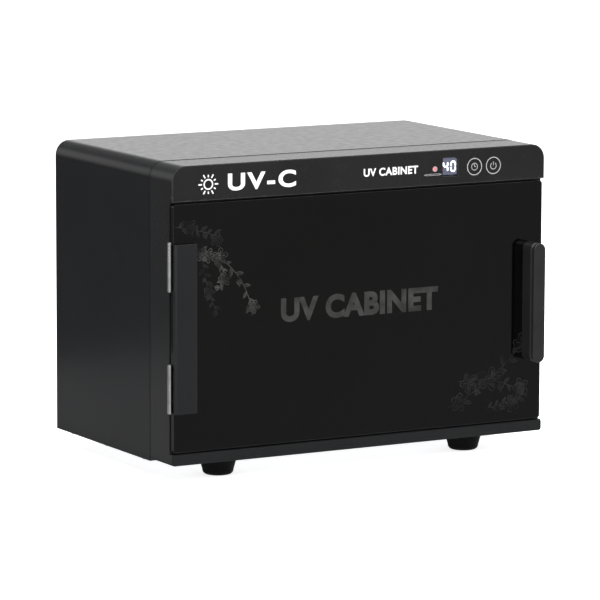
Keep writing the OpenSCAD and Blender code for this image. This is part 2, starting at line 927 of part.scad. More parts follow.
module hinge_pin(z0) {
    color("#9a9da1") placed() translate([hinge_x, hinge_y, z0]) {
        cylinder(h = hinge_h, r = pin_r);
        translate([0, 0, hinge_h]) cylinder(h = 0.8, r = 1.5);
    }
}

module upper_hinge_pin() {
    hinge_pin(hinge_z[1]);
}

module lower_hinge_pin() {
    hinge_pin(hinge_z[0]);
}

module hinge_screws() {
    color("silver") placed() for (hinge = hinge_z, dz = [-1, 1]) {
        z = hinge + hinge_h / 2 + dz * leaf_screw_dz;
        difference() {
            union() {
                countersink(leaf_screw_x, z, 2.4, 1.2);
                peg(leaf_screw_x, z, frame_leaf_y + 0.3, 8.4, 1.2);
            }
            for (turn = [0, 90]) translate([leaf_screw_x, frame_leaf_y, z]) rotate([0, turn, 0]) {
                cube([2.6, 1, 0.7], center = true);
            }
        }
    }
}

module handle_base() {
    color("#2e2f33") placed() difference() {
        translate([handle_x, 0, handle_z]) {
            round_bar(handle_w, handle_h, -base_out, 0, 1.8);
            round_bar(handle_w - 2 * neck_inset, handle_h - 2 * neck_inset, -neck_out, -1, 0.1);
        }
        for (dz = [-1, 1]) {
            peg(handle_x, handle_z + dz * handle_screw_dz, -9, cut, 1.55);
        }
    }
}

module handle_cap() {
    color("#35363a") placed() translate([handle_x, 0, handle_z])
        round_bar(handle_w, handle_h, -handle_out, -neck_out, 1);
}

module handle_screws() {
    color("silver") placed() for (dz = [-1, 1]) {
        screw_forward(handle_x, handle_z + dz * handle_screw_dz, glass_t, 12, 1.5, 3, 1.4);
    }
}

module strike_plate() {
    color("#b4b6b9") placed()
        block([catch_x - 6, glass_t, catch_z - 12], [catch_x + 6, glass_t + 0.8, catch_z + 12]);
}

module magnet_catch() {
    color("#1c1c1e") placed()
        block([catch_x - 4, glass_t + 1.1, catch_z - 10], [catch_x + 4, 19, catch_z + 10]);
}

module door_gasket() {
    w = chamber_w / 2;
    color("#101012") placed() slab(glass_t + 0.1, recess_d) difference() {
        translate([-w - gasket_w - 1, chamber_z0 - gasket_w - 1])
            square([2 * (w + gasket_w + 1), chamber_z1 - chamber_z0 + 2 * (gasket_w + 1)]);
        translate([-w - 1, chamber_z0 - 1])
            square([2 * (w + 1), chamber_z1 - chamber_z0 + 2]);
    }
}

// ---- Feet and fasteners ----

module foot(x, y) {
    edge = 4;
    low_r = foot_r - 3;
    color("#101011") placed() translate([x, y, -foot_h]) rotate_extrude() difference() {
        union() {
            polygon([[0, edge], [low_r, edge], [foot_r, foot_h], [0, foot_h]]);
            square([low_r - edge, edge + cut]);
            translate([low_r - edge, edge]) circle(edge);
        }
        translate([-cut, -cut]) square([6.5 + cut, 4 + cut]);
        translate([-cut, -cut]) square([2.1 + cut, foot_h + 2 * cut]);
    }
}

module left_front_foot() {
    foot(-foot_x, foot_y[0]);
}

module right_front_foot() {
    foot(foot_x, foot_y[0]);
}

module left_rear_foot() {
    foot(-foot_x, foot_y[1]);
}

module right_rear_foot() {
    foot(foot_x, foot_y[1]);
}

module foot_screws() {
    seat = 4 - foot_h;
    color("silver") placed() for (x = [-foot_x, foot_x], y = foot_y) {
        translate([x, y, seat]) screw(4.5 - seat, 2, 4, 2.4);
    }
}

module foot_nuts() {
    color("silver") placed() for (x = [-foot_x, foot_x], y = foot_y) translate([x, y, 1.2])
        difference() {
            cylinder(h = 3.2, r = nut_af / sqrt(3), $fn = 6);
            translate([0, 0, -cut]) cylinder(h = 6, r = 2.05);
        }
}

module cover_screws() {
    color("silver") placed() for (side = [-1, 1], y = cover_screw_y())
        translate([side * (half_w - fold_w / 2), y, 0]) screw(4, 1.25, 3, 1.6);
}

module rear_screws() {
    color("silver") placed() {
        for (side = [-1, 1], z = [30, 128, 226]) {
            screw_forward(side * (half_w - fold_w / 2), z, case_d, 5, 1.45, 3.2, screw_proud);
        }
        for (x = [-90, 90]) {
            screw_forward(x, case_h - fold_w / 2, case_d, 5, 1.45, 3.2, screw_proud);
        }
    }
}

outer_cover();
base_pan();
rear_panel();
front_bezel();
control_fascia();
display_window();
display_module();
indicator_led();
time_key();
power_key();
time_switch();
power_switch();
control_board();
board_screws();
ballast();
ballast_screws();
power_inlet();
inlet_screws();
wiring_harness();
inner_liner();
liner_screws();
left_rail();
right_rail();
rail_rivets();
wire_rack();
lamp_reflector();
left_lampholder();
right_lampholder();
left_rotor();
right_rotor();
uv_tube();
left_lamp_cap();
right_lamp_cap();
lamp_pins();
door_glass();
hinge_strip();
strip_screws();
upper_frame_leaf();
lower_frame_leaf();
upper_door_leaf();
lower_door_leaf();
upper_hinge_pin();
lower_hinge_pin();
hinge_screws();
handle_base();
handle_cap();
handle_screws();
strike_plate();
door_gasket();
magnet_catch();
interlock_switch();
interlock_plunger();
left_front_foot();
right_front_foot();
left_rear_foot();
right_rear_foot();
foot_screws();
foot_nuts();
cover_screws();
rear_screws();
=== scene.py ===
import json
import math
import random

import bmesh
import bpy
from mathutils import Matrix, Vector


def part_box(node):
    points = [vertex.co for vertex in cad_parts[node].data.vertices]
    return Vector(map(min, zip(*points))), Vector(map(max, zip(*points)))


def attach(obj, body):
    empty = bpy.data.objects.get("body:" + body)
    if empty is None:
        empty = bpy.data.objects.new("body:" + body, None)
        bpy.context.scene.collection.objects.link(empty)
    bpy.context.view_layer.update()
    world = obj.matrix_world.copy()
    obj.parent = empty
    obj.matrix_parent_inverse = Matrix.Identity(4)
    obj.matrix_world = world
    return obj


# A table-top UV sterilizer cabinet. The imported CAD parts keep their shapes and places. This
# script gives them soft edges and materials, and adds the printed and etched marks, the
# display's digits and the lamp's electrodes.

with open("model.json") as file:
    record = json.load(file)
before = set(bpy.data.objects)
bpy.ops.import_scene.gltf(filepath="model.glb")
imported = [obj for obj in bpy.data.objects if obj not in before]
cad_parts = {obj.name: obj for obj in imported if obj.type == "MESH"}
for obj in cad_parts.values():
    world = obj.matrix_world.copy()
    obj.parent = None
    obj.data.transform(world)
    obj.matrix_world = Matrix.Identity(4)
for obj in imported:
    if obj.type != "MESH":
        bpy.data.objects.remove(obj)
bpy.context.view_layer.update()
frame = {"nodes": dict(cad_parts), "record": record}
NODES = frame["nodes"]
MM = 0.001

# ---- Camera ------------------------------------------------------------------------------

AIM = Vector((-0.03723, -0.05882, 0.14332))
CAMERA_AZIMUTH = math.radians(-29.406)
CAMERA_ELEVATION = math.radians(8.559)
CAMERA_ROLL = math.radians(0.186)
CAMERA_DISTANCE = 3.725
LENS_MM = 257.8


def make_camera():
    """A long lens on the left of the cabinet, a little above it."""
    flat = math.cos(CAMERA_ELEVATION)
    back = Vector((math.sin(CAMERA_AZIMUTH) * flat, -math.cos(CAMERA_AZIMUTH) * flat,
                   math.sin(CAMERA_ELEVATION)))
    right = Vector((0, 0, 1)).cross(back).normalized()
    up = back.cross(right)
    level = Matrix((right, up, back)).transposed().to_4x4()
    data = bpy.data.cameras.new("camera")
    data.sensor_width = 36
    data.lens = LENS_MM
    data.clip_end = 100
    camera = bpy.data.objects.new("camera", data)
    bpy.context.scene.collection.objects.link(camera)
    place = Matrix.Translation(AIM + back * CAMERA_DISTANCE)
    camera.matrix_world = place @ level @ Matrix.Rotation(CAMERA_ROLL, 4, "Z")
    bpy.context.scene.camera = camera


make_camera()

# ---- Materials ---------------------------------------------------------------------------


class Surface:
    """A Principled material with helpers for noise, colour and relief."""

    def __init__(self, name, rough=0.5, metal=0.0, specular=0.5):
        self.material = bpy.data.materials.new(name)
        self.material.use_nodes = True
        self.tree = self.material.node_tree
        self.tree.nodes.clear()
        self.shader = self.tree.nodes.new("ShaderNodeBsdfPrincipled")
        output = self.tree.nodes.new("ShaderNodeOutputMaterial")
        self.tree.links.new(self.shader.outputs[0], output.inputs[0])
        self.place = self.tree.nodes.new("ShaderNodeTexCoord").outputs["Object"]
        self.shader.inputs["Roughness"].default_value = rough
        self.shader.inputs["Metallic"].default_value = metal
        self.shader.inputs["Specular IOR Level"].default_value = specular

    def link(self, source, target):
        self.tree.links.new(source, target)

    def noise(self, scale, detail=2.0, stretch=(1, 1, 1), rough=0.5):
        """Noise with about scale lumps a metre, stretched along the axes by stretch."""
        mapping = self.tree.nodes.new("ShaderNodeMapping")
        mapping.inputs["Scale"].default_value = [scale / s for s in stretch]
        self.link(self.place, mapping.inputs["Vector"])
        noise = self.tree.nodes.new("ShaderNodeTexNoise")
        noise.inputs["Scale"].default_value = 1
        noise.inputs["Detail"].default_value = detail
        noise.inputs["Roughness"].default_value = rough
        self.link(mapping.outputs[0], noise.inputs["Vector"])
        return noise.outputs["Fac"]

    def ranged(self, value, low, high, start=0.3, end=0.7):
        node = self.tree.nodes.new("ShaderNodeMapRange")
        node.inputs["From Min"].default_value = start
        node.inputs["From Max"].default_value = end
        node.inputs["To Min"].default_value = low
        node.inputs["To Max"].default_value = high
        self.link(value, node.inputs["Value"])
        return node.outputs["Result"]

    def roughness(self, value, low, high):
        self.link(self.ranged(value, low, high), self.shader.inputs["Roughness"])

    def colour(self, value, first, second, start=0.3, end=0.7):
        ramp = self.tree.nodes.new("ShaderNodeValToRGB")
        ramp.color_ramp.elements[0].position = start
        ramp.color_ramp.elements[0].color = (*first, 1)
        ramp.color_ramp.elements[1].position = end
        ramp.color_ramp.elements[1].color = (*second, 1)
        self.link(value, ramp.inputs["Fac"])
        self.link(ramp.outputs["Color"], self.shader.inputs["Base Color"])

    def relief(self, height, depth):
        """Bump of the given depth in metres. A second call adds to the first."""
        bump = self.tree.nodes.new("ShaderNodeBump")
        bump.inputs["Distance"].default_value = depth
        self.link(height, bump.inputs["Height"])
        normal = self.shader.inputs["Normal"]
        if normal.is_linked:
            self.link(normal.links[0].from_socket, bump.inputs["Normal"])
        self.link(bump.outputs["Normal"], normal)

    def wear_and_highlight(self, shade, width_mm=0.5, amount=0.6):
        """Lightens a narrow band along the edges: partly wear, where handling polishes them, and partly
        a painted highlight for the light that the bevels catch.
        """
        rounded = self.tree.nodes.new("ShaderNodeBevel")
        rounded.samples = 4
        rounded.inputs["Radius"].default_value = width_mm * MM
        flat = self.tree.nodes.new("ShaderNodeNewGeometry").outputs["Normal"]
        facing = self.tree.nodes.new("ShaderNodeVectorMath")
        facing.operation = "DOT_PRODUCT"
        self.link(rounded.outputs["Normal"], facing.inputs[0])
        self.link(flat, facing.inputs[1])
        edge = self.ranged(facing.outputs["Value"], amount, 0.0, 0.85, 0.98)
        mix = self.tree.nodes.new("ShaderNodeMix")
        mix.data_type = "RGBA"
        base = self.shader.inputs["Base Color"]
        self.link(base.links[0].from_socket, mix.inputs[6])
        mix.inputs[7].default_value = (*shade, 1)
        self.link(edge, mix.inputs[0])
        self.link(mix.outputs[2], base)


def black_steel():
    """Powder coat: a fine orange peel over satin black."""
    s = Surface("black_steel", specular=0.5)
    s.colour(s.noise(9, 4), (0.0042, 0.0047, 0.0056), (0.0058, 0.0064, 0.0074))
    s.roughness(s.noise(140, 5), 0.2, 0.25)
    s.relief(s.noise(1500, 2), 3e-6)
    s.wear_and_highlight((0.022, 0.023, 0.025))
    return s.material


def black_abs():
    """Moulded plastic with a fine spark texture."""
    s = Surface("black_abs", specular=0.5)
    s.colour(s.noise(12, 4), (0.0074, 0.0078, 0.0085), (0.0096, 0.01, 0.0108))
    s.roughness(s.noise(300, 4), 0.22, 0.27)
    s.relief(s.noise(3200, 2), 2.2e-6)
    s.wear_and_highlight((0.026, 0.027, 0.029))
    return s.material


def gloss_panel():
    s = Surface("gloss_panel", specular=0.3)
    s.colour(s.noise(14, 4), (0.0105, 0.0105, 0.0108), (0.0132, 0.0132, 0.0137))
    s.roughness(s.noise(60, 6), 0.2, 0.3)
    s.relief(s.noise(900, 1), 1.2e-6)
    # The light band along the edges is a painted highlight on the fascia's bevels, with some wear.
    s.wear_and_highlight((0.085, 0.085, 0.086), 0.45, 0.9)
    return s.material


def handle_plastic():
    s = Surface("handle_plastic", specular=0.4)
    s.colour(s.noise(40, 4), (0.0115, 0.0115, 0.012), (0.0148, 0.0148, 0.0153))
    s.roughness(s.noise(200, 5), 0.3, 0.4)
    s.relief(s.noise(2600, 2), 4e-6)
    s.wear_and_highlight((0.034, 0.034, 0.035))
    return s.material


def dark_glass():
    """Smoked toughened glass with faint finger marks."""
    s = Surface("dark_glass", specular=0.5)
    s.colour(s.noise(6, 3), (0.0008, 0.0008, 0.0007), (0.0014, 0.0014, 0.0013))
    s.roughness(s.noise(25, 8, rough=0.65), 0.02, 0.06)
    s.relief(s.noise(8, 1), 2e-6)
    # The light line along the edges is partly the ground glass edge's own lighter tone and partly a
    # painted highlight where the edge catches the light.
    s.wear_and_highlight((0.065, 0.066, 0.064), 0.4, 0.95)
    return s.material


def window_lens():
    s = Surface("window_lens", rough=0.05, specular=0.3)
    s.shader.inputs["Transmission Weight"].default_value = 1
    s.shader.inputs["IOR"].default_value = 1.06
    s.colour(s.noise(120, 3), (0.5, 0.5, 0.55), (0.56, 0.56, 0.6))
    s.roughness(s.noise(80, 5), 0.0, 0.03)
    return s.material


def display_face():
    s = Surface("display", specular=0.3)
    s.colour(s.noise(200, 3), (0.06, 0.06, 0.08), (0.08, 0.08, 0.105))
    s.shader.inputs["Emission Color"].default_value = (0.75, 0.8, 1.0, 1)
    s.shader.inputs["Emission Strength"].default_value = 0.3
    s.roughness(s.noise(600, 3), 0.35, 0.5)
    s.relief(s.noise(4000, 2), 4e-6)
    return s.material


def led_red():
    s = Surface("led_red", specular=0.5)
    s.colour(s.noise(900, 2), (0.42, 0.1, 0.11), (0.55, 0.16, 0.18))
    s.shader.inputs["Emission Color"].default_value = (1.0, 0.3, 0.32, 1)
    s.shader.inputs["Emission Strength"].default_value = 0.3
    s.roughness(s.noise(1200, 2), 0.12, 0.25)
    return s.material


def circuit_board():
    s = Surface("circuit_board", specular=0.45)
    traces = s.noise(420, 0, stretch=(4, 1, 1))
    s.colour(traces, (0.01, 0.075, 0.03), (0.016, 0.13, 0.05), 0.48, 0.52)
    s.roughness(s.noise(500, 3), 0.25, 0.4)
    s.relief(traces, 2e-5)
    return s.material


def moulded(name, dark, light, rough=(0.35, 0.5), grain=2500):
    s = Surface(name, specular=0.4)
    s.colour(s.noise(60, 4), dark, light)
    s.roughness(s.noise(300, 4), *rough)
    s.relief(s.noise(grain, 2), 6e-6)
    return s.material


def plated(name, dark, light, rough=(0.22, 0.36), grain=(1, 1, 1), depth=3e-6):
    """Metal with a slightly cloudy finish, brushed along the longest stretch."""
    s = Surface(name, metal=1.0)
    s.colour(s.noise(90, 5), dark, light)
    s.roughness(s.noise(260, 5, stretch=grain), *rough)
    s.relief(s.noise(2600, 3, stretch=grain), depth)
    return s.material


def lamp_glass():
    s = Surface("lamp_glass", specular=0.5)
    s.shader.inputs["Transmission Weight"].default_value = 1
    s.shader.inputs["IOR"].default_value = 1.12
    s.colour(s.noise(60, 3), (0.9, 0.93, 0.98), (0.96, 0.97, 1.0))
    s.roughness(s.noise(120, 4), 0.01, 0.05)
    return s.material


def rubber(name, dark, light, depth, specular=0.25):
    s = Surface(name, specular=specular)
    s.colour(s.noise(150, 5), dark, light)
    s.roughness(s.noise(500, 5), 0.55, 0.75)
    s.relief(s.noise(1800, 4), depth)
    return s.material


STEEL_DARK = (0.5, 0.505, 0.515)
STEEL_LIGHT = (0.56, 0.565, 0.575)
SLOTS = {
    "black_steel": black_steel(),
    "black_abs": black_abs(),
    "gloss_panel": gloss_panel(),
    "handle_plastic": handle_plastic(),
    "window_lens": window_lens(),
    "display": display_face(),
    "led_red": led_red(),
    "circuit_board": circuit_board(),
    "switch_plastic": moulded("switch_plastic", (0.012, 0.012, 0.013), (0.022, 0.022, 0.024)),
    "zinc_steel": plated("zinc_steel", (0.42, 0.43, 0.45), (0.62, 0.63, 0.66)),
    "stainless": plated("stainless", STEEL_DARK, STEEL_LIGHT, (0.3, 0.36), (30, 30, 1)),
    "rack_wire": plated("rack_wire", (0.68, 0.69, 0.7), (0.8, 0.81, 0.82), (0.08, 0.18)),
    "reflector": plated("reflector", (0.74, 0.75, 0.77), (0.84, 0.85, 0.87), (0.1, 0.2), (40, 1, 1)),
    "lamp_glass": lamp_glass(),
    "lamp_metal": plated("lamp_metal", (0.55, 0.56, 0.58), (0.68, 0.69, 0.71)),
    "brass_pin": plated("brass_pin", (0.55, 0.4, 0.15), (0.68, 0.5, 0.22)),
    "white_plastic": moulded("white_plastic", (0.66, 0.65, 0.61), (0.74, 0.73, 0.69)),
    "wire_sheath": rubber("wire_sheath", (0.5, 0.5, 0.47), (0.62, 0.62, 0.58), 1e-5),
    "dark_glass": dark_glass(),
    "hinge_metal": plated("hinge_metal", (0.7, 0.7, 0.69), (0.84, 0.84, 0.83), (0.17, 0.26)),
    "foot_rubber": rubber("foot_rubber", (0.001, 0.001, 0.0012), (0.0022, 0.0022, 0.0024), 1.2e-5, 0.12),
    "gasket_rubber": rubber("gasket_rubber", (0.01, 0.01, 0.011), (0.016, 0.016, 0.017), 3e-5),
    "ballast_case": moulded("ballast_case", (0.55, 0.55, 0.53), (0.66, 0.66, 0.64)),
}


def print_ink(name, dark, light, glow=0.0):
    s = Surface(name, specular=0.3)
    s.colour(s.noise(700, 4), dark, light)
    s.roughness(s.noise(900, 3), 0.4, 0.6)
    if glow:
        s.shader.inputs["Emission Color"].default_value = (0.93, 0.95, 1.0, 1)
        s.shader.inputs["Emission Strength"].default_value = glow
    return s.material


def etched_lines(name, faint, glinting):
    """Etching with painted highlights: its colour is lighter in some places than in others, where it
    catches the light.
    """
    s = Surface(name, specular=0.3)
    s.colour(s.noise(70, 3, rough=0.6), faint, glinting, 0.38, 0.72)
    s.roughness(s.noise(900, 3), 0.4, 0.6)
    s.relief(s.noise(2400, 2), 1e-5)
    return s.material


WHITE_INK = print_ink("white_ink", (0.74, 0.74, 0.74), (0.86, 0.86, 0.86))
KEY_INK = print_ink("key_ink", (0.3, 0.3, 0.3), (0.42, 0.42, 0.42))
PINK_INK = print_ink("pink_ink", (0.55, 0.38, 0.4), (0.68, 0.5, 0.52))
GREY_INK = print_ink("grey_ink", (0.3, 0.3, 0.3), (0.42, 0.42, 0.42))
DIGIT_LIGHT = print_ink("digit_light", (0.8, 0.82, 0.9), (0.9, 0.92, 1.0), glow=4.0)
ETCHED = etched_lines("etched_glass", (0.017, 0.017, 0.016), (0.045, 0.045, 0.043))
# Lit and shaded copies of one etching: the upper sprigs are painted lighter as a painted highlight, the
# lower ones darker as painted shade.
ETCHED_LIT = etched_lines("etched_lit", (0.008, 0.008, 0.0078), (0.085, 0.086, 0.08))
ETCHED_SHADED = etched_lines("etched_shaded", (0.004, 0.0042, 0.0041), (0.032, 0.034, 0.033))

for part in frame["record"]["subparts"]:
    slots = NODES[part["node"]].data.materials
    slots.clear()
    slots.append(SLOTS[part["material_slot"]])

# ---- Soft edges on the CAD parts ---------------------------------------------------------

EDGE_MM = {
    "outer_cover": 0.35,
    "base_pan": 0.3,
    "rear_panel": 0.2,
    "front_bezel": 0.7,
    "control_fascia": 0.5,
    "display_window": 0.2,
    "time_key": 0.4,
    "power_key": 0.4,
    "inner_liner": 0.25,
    "left_rail": 0.2,
    "right_rail": 0.2,
    "wire_rack": 0.5,
    "left_lampholder": 0.8,
    "right_lampholder": 0.8,
    "power_inlet": 0.3,
    "door_glass": 0.5,
    "hinge_strip": 0.6,
    "handle_base": 0.7,
    "handle_cap": 0.8,
    "strike_plate": 0.2,
    "magnet_catch": 0.4,
    "interlock_plunger": 0.4,
    "cover_screws": 0.5,
    "rear_screws": 0.6,
    "foot_screws": 0.5,
    "strip_screws": 0.5,
    "handle_screws": 0.5,
}


def soften(node, width):
    """Rounds a CAD part's sharp edges with modifiers; its own mesh stays as it is."""
    piece = NODES[node]
    weld = piece.modifiers.new("weld", "WELD")
    weld.merge_threshold = 1e-6
    flat = piece.modifiers.new("flat", "DECIMATE")
    flat.decimate_type = "DISSOLVE"
    flat.angle_limit = math.radians(0.4)
    bevel = piece.modifiers.new("bevel", "BEVEL")
    bevel.width = width * MM
    bevel.segments = 3
    bevel.limit_method = "ANGLE"
    bevel.angle_limit = math.radians(40)
    bevel.harden_normals = False
    bevel.use_clamp_overlap = True
    normals = piece.modifiers.new("normals", "WEIGHTED_NORMAL")
    normals.keep_sharp = True


for node_name, edge_mm in EDGE_MM.items():
    soften(node_name, edge_mm)

# ---- Marks: flat shapes in the front view, in millimetres --------------------------------

FRONT_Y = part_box("control_fascia")[0].y
CASE_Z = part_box("outer_cover")[0].z
GLASS_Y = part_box("door_glass")[0].y


def ring(x, z, outer, inner, start=0.0, end=360.0, steps=48):
    """Quads of a ring or an arc of one."""
    quads = []
    for i in range(steps):
        a, b = (math.radians(start + (end - start) * k / steps) for k in (i, i + 1))
        quads.append([(x + outer * math.cos(a), z + outer * math.sin(a)),
                      (x + outer * math.cos(b), z + outer * math.sin(b)),
                      (x + inner * math.cos(b), z + inner * math.sin(b)),
                      (x + inner * math.cos(a), z + inner * math.sin(a))])
    return quads


def ribbon(points, width, taper=True):
    """Quads of a line through the points, narrowed at its ends when taper is true."""
    sides = []
    last = len(points) - 1
    for i, (x, z) in enumerate(points):
        ax, az = points[max(i - 1, 0)]
        bx, bz = points[min(i + 1, last)]
        run = math.hypot(bx - ax, bz - az) or 1.0
        half = width / 2
        if taper:
            half *= 0.35 + 0.65 * math.sin(math.pi * min(max(i / last, 0.02), 0.98))
        nx, nz = -(bz - az) / run * half, (bx - ax) / run * half
        sides.append(((x + nx, z + nz), (x - nx, z - nz)))
    return [[a[0], a[1], b[1], b[0]] for a, b in zip(sides, sides[1:])]


def bar(x0, z0, x1, z1, width):
    return ribbon([(x0, z0), (x1, z1)], width, taper=False)


def mark(name, faces, front_y, material, body, relief_mm=0.04):
    """A thin solid on the plane y = front_y, from front-view faces above the case's foot."""
    mesh = bmesh.new()
    for face in faces:
        corners = [mesh.verts.new((x * MM, front_y, CASE_Z + z * MM)) for x, z in face]
        mesh.faces.new(corners)
    bmesh.ops.remove_doubles(mesh, verts=mesh.verts, dist=1e-7)
    grown = bmesh.ops.extrude_face_region(mesh, geom=mesh.faces[:])
    moved = [v for v in grown["geom"] if isinstance(v, bmesh.types.BMVert)]
    bmesh.ops.translate(mesh, verts=moved, vec=(0, -relief_mm * MM, 0))
    bmesh.ops.recalc_face_normals(mesh, faces=mesh.faces[:])
    data = bpy.data.meshes.new(name)
    mesh.to_mesh(data)
    mesh.free()
    return finish_piece(name, data, material, body)


def finish_piece(name, data, material, body):
    piece = bpy.data.objects.new(name, data)
    bpy.context.scene.collection.objects.link(piece)
    data.materials.clear()
    data.materials.append(material)
    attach(piece, body)
    return piece


def lettering(name, words, x, z, size, front_y, material, body, weight=0.0, spread=1.0, width=1.0):
    """Plain generic lettering, centred on x, z, as a thin solid mesh."""
    curve = bpy.data.curves.new(name + "_curve", "FONT")
    curve.body = words
    curve.size = size * MM
    curve.align_x = "CENTER"
    curve.align_y = "CENTER"
    curve.extrude = 0.02 * MM
    curve.offset = weight * MM
    curve.space_character = spread
    curve.resolution_u = 6
    draft = bpy.data.objects.new(name + "_draft", curve)
    bpy.context.scene.collection.objects.link(draft)
    data = bpy.data.meshes.new_from_object(draft.evaluated_get(bpy.context.evaluated_depsgraph_get()))
    bpy.data.objects.remove(draft)
    turn = Matrix.Translation((x * MM, front_y - 0.02 * MM, CASE_Z + z * MM))
    data.transform(turn @ Matrix.Rotation(math.pi / 2, 4, "X") @ Matrix.Diagonal((width, 1, 1, 1)))
    return finish_piece(name, data, material, body)


# ---- Control panel marks -----------------------------------------------------------------

SUN_X, SUN_Z = -150.5, 240.5
SUN_RAYS = 12


def sun(x, z, core, reach, line):
    """A ring with rays: a plain sign for ultraviolet light."""
    faces = ring(x, z, core, core - line)
    for k in range(SUN_RAYS):
        angle = 2 * math.pi * k / SUN_RAYS
        near, far = core + line * 1.3, reach if k % 2 == 0 else reach * 0.86
        faces += bar(x + near * math.cos(angle), z + near * math.sin(angle),
                     x + far * math.cos(angle), z + far * math.sin(angle), line)
    return faces


mark("panel_sun", sun(SUN_X, SUN_Z, 4.6, 9.4, 1.15), FRONT_Y, WHITE_INK, "cabinet")
lettering("panel_uv_letters", "UV-C", -99, 240.4, 19.5, FRONT_Y, WHITE_INK, "cabinet",
          weight=0.6, spread=1.2, width=1.3)
lettering("panel_small_letters", "UV CABINET", 27.8, 241.3, 9.2, FRONT_Y, WHITE_INK, "cabinet",
          weight=0.26, spread=1.06)

KEY_X = {"time_key": 112.3, "power_key": 131.6}
KEY_Z = 241.0


def key_y(node):
    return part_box(node)[0].y


def key_marks():
    """The ring round each key, a clock on one and a power sign on the other."""
    for node, x in KEY_X.items():
        faces = ring(x, KEY_Z, 7.6, 6.85)
        if node == "time_key":
            faces += ring(x, KEY_Z, 3.3, 2.7)
            faces += bar(x, KEY_Z, x, KEY_Z + 2.2, 0.55)
            faces += bar(x, KEY_Z, x + 1.6, KEY_Z, 0.55)
        else:
            faces += ring(x, KEY_Z - 0.3, 3.2, 2.55, 125, 415)
            faces += bar(x, KEY_Z + 0.2, x, KEY_Z + 3.6, 0.65)
        mark(node + "_marks", faces, key_y(node), KEY_INK, node)


key_marks()


def lamp_sign():
    """A small outline of a tube lamp under the indicator."""
    x, z = 70.0, 236.2
    faces = bar(x - 7, z + 0.55, x + 7, z + 0.55, 0.3)
    faces += bar(x - 7, z - 0.55, x + 7, z - 0.55, 0.3)
    for end in (-1, 1):
        faces += bar(x + end * 7, z - 0.7, x + end * 7, z + 0.7, 0.5)
        faces += bar(x + end * 7, z, x + end * 8.8, z, 0.4)
    return faces


mark("lamp_sign", lamp_sign(), FRONT_Y, GREY_INK, "cabinet")

led_low, led_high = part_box("indicator_led")
LED_X = (led_low.x + led_high.x) / 2 / MM
LED_Z = ((led_low.z + led_high.z) / 2 - CASE_Z) / MM
mark("indicator_ring", ring(LED_X, LED_Z, 2.25, 1.7, steps=32), FRONT_Y, PINK_INK, "cabinet")

# ---- Display -----------------------------------------------------------------------------

SEGMENTS = {"0": "abcdef", "4": "bcfg"}


def segment(x0, z0, x1, z1, width):
    """A bar with pointed ends, as on a segment display."""
    run = math.hypot(x1 - x0, z1 - z0)
    ux, uz = (x1 - x0) / run, (z1 - z0) / run
    nx, nz = -uz * width / 2, ux * width / 2
    shape = [(0.15, 0), (width / 2 + 0.1, 1), (run - width / 2 - 0.1, 1),
             (run - 0.15, 0), (run - width / 2 - 0.1, -1), (width / 2 + 0.1, -1)]
    return [[(x0 + ux * d + nx * side, z0 + uz * d + nz * side) for d, side in shape]]


def digit(symbol, x, z, width, height, line):
    """The lit segments of one digit whose lower left corner is x, z."""
    mid, top, right = z + height / 2, z + height, x + width
    ends = {"a": (x, top, right, top), "b": (right, mid, right, top), "c": (right, z, right, mid),
            "d": (x, z, right, z), "e": (x, z, x, mid), "f": (x, mid, x, top),
            "g": (x, mid, right, mid)}
    faces = []
    for name in SEGMENTS[symbol]:
        faces += segment(*ends[name], line)
    return faces


face_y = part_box("display_module")[0].y
digits = digit("4", 82.0, 238.2, 4.2, 8.2, 1.55) + digit("0", 89.6, 238.2, 4.2, 8.2, 1.55)
mark("display_digits", digits, face_y, DIGIT_LIGHT, "cabinet")

# ---- Door marks --------------------------------------------------------------------------

lettering("door_letters", "UV CABINET", -2.5, 127, 26.5, GLASS_Y, ETCHED, "door",
          weight=1.25, spread=1.05)


def curve_points(x, z, angle, length, bend, steps=16):
    """Points along a line that turns evenly by bend radians over its length."""
    points = [(x, z)]
    for _ in range(steps):
        angle += bend / steps
        x += math.cos(angle) * length / steps
        z += math.sin(angle) * length / steps
        points.append((x, z))
    return points, angle


def leaf(x, z, angle, length, line):
    """Outline and midrib of an almond-shaped leaf."""
    faces = []
    for side in (-1, 1):
        points, _ = curve_points(x, z, angle - side * 0.65, length * 1.06, side * 1.3)
        faces += ribbon(points, line)
    points, _ = curve_points(x, z, angle, length * 0.8, 0.15)
    return faces + ribbon(points, line * 0.8)


def blossom(x, z, radius, turn, line, petals=5):
    """Round petals about a small ring, with two fine lines in each."""
    faces = ring(x, z, radius * 0.17, radius * 0.17 - line, steps=16)
    for k in range(petals):
        angle = turn + 2 * math.pi * k / petals
        outline = []
        for i in range(25):
            t = i / 24
            swing = (t - 0.5) * 1.15 * math.sin(math.pi * min(1, 0.25 + 1.5 * min(t, 1 - t)))
            reach = radius * (0.22 + 0.78 * math.sin(math.pi * t) ** 0.55)
            outline.append((x + reach * math.cos(angle + swing), z + reach * math.sin(angle + swing)))
        faces += ribbon(outline, line)
        for swing in (-0.14, 0.14):
            faces += ribbon([(x + radius * d * math.cos(angle + swing * d),
                              z + radius * d * math.sin(angle + swing * d))
                             for d in (0.25, 0.4, 0.55, 0.7)], line * 0.8)
    return faces


